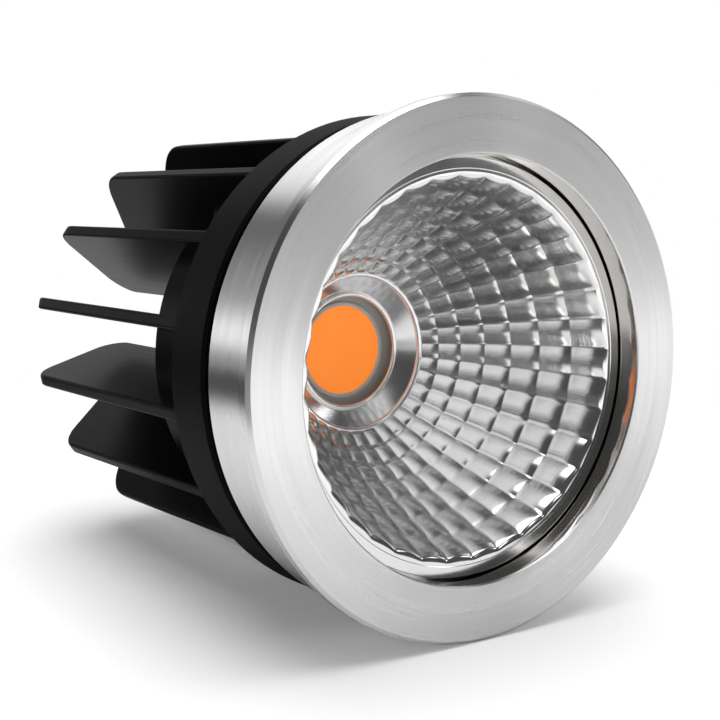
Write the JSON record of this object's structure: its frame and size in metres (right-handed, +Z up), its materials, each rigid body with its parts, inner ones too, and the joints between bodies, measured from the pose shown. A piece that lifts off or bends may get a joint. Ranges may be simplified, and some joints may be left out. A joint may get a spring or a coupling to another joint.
{
  "type": "led module",
  "caption": "Round recessed-light LED module: aluminium front ring, faceted mirror reflector over a chip-on-board source, and a black heatsink with radial fins.",
  "frame": {"origin": "on the module's axis, in the plane of the rim's back face, where the skirt starts", "axes": "+Y along the axis from the light outlet to the fins; +Z up as the module lies on its side; +X to the right seen from the front"},
  "size_m": [0.05, 0.0562, 0.05],
  "materials": {
    "turned_aluminium": "fine turned, satin",
    "metallised": "vacuum metallised moulded plastic, faceted",
    "silicone_clear": "matt",
    "black_anodised": "black anodised, satin",
    "screw_steel": "blackened zinc",
    "thermal_sheet": "matt",
    "board_metal": "white lacquered mirror aluminium",
    "contact_gold": "gold plated",
    "chip_blue": "polished",
    "phosphor": "soft gloss silicone with phosphor",
    "dam_white": "soft gloss silicone",
    "holder_plastic": "moulded, fine matt",
    "spring_bronze": "tinned spring bronze",
    "grommet_rubber": "matt"
  },
  "bodies": {
    "root": {"front_ring": "turned_aluminium", "reflector": "metallised", "flange_seal": "silicone_clear", "heatsink": "black_anodised", "ring_screws": "screw_steel", "thermal_pad": "thermal_sheet", "source_board": "board_metal", "contact_pad_plus": "contact_gold", "contact_pad_minus": "contact_gold", "led_chips": "chip_blue", "phosphor": "phosphor", "source_dam": "dam_white", "board_holder": "holder_plastic", "holder_screws": "screw_steel", "contact_spring_plus": "spring_bronze", "contact_spring_minus": "spring_bronze", "cable_grommet": "grommet_rubber"}
  },
  "joints": []
}
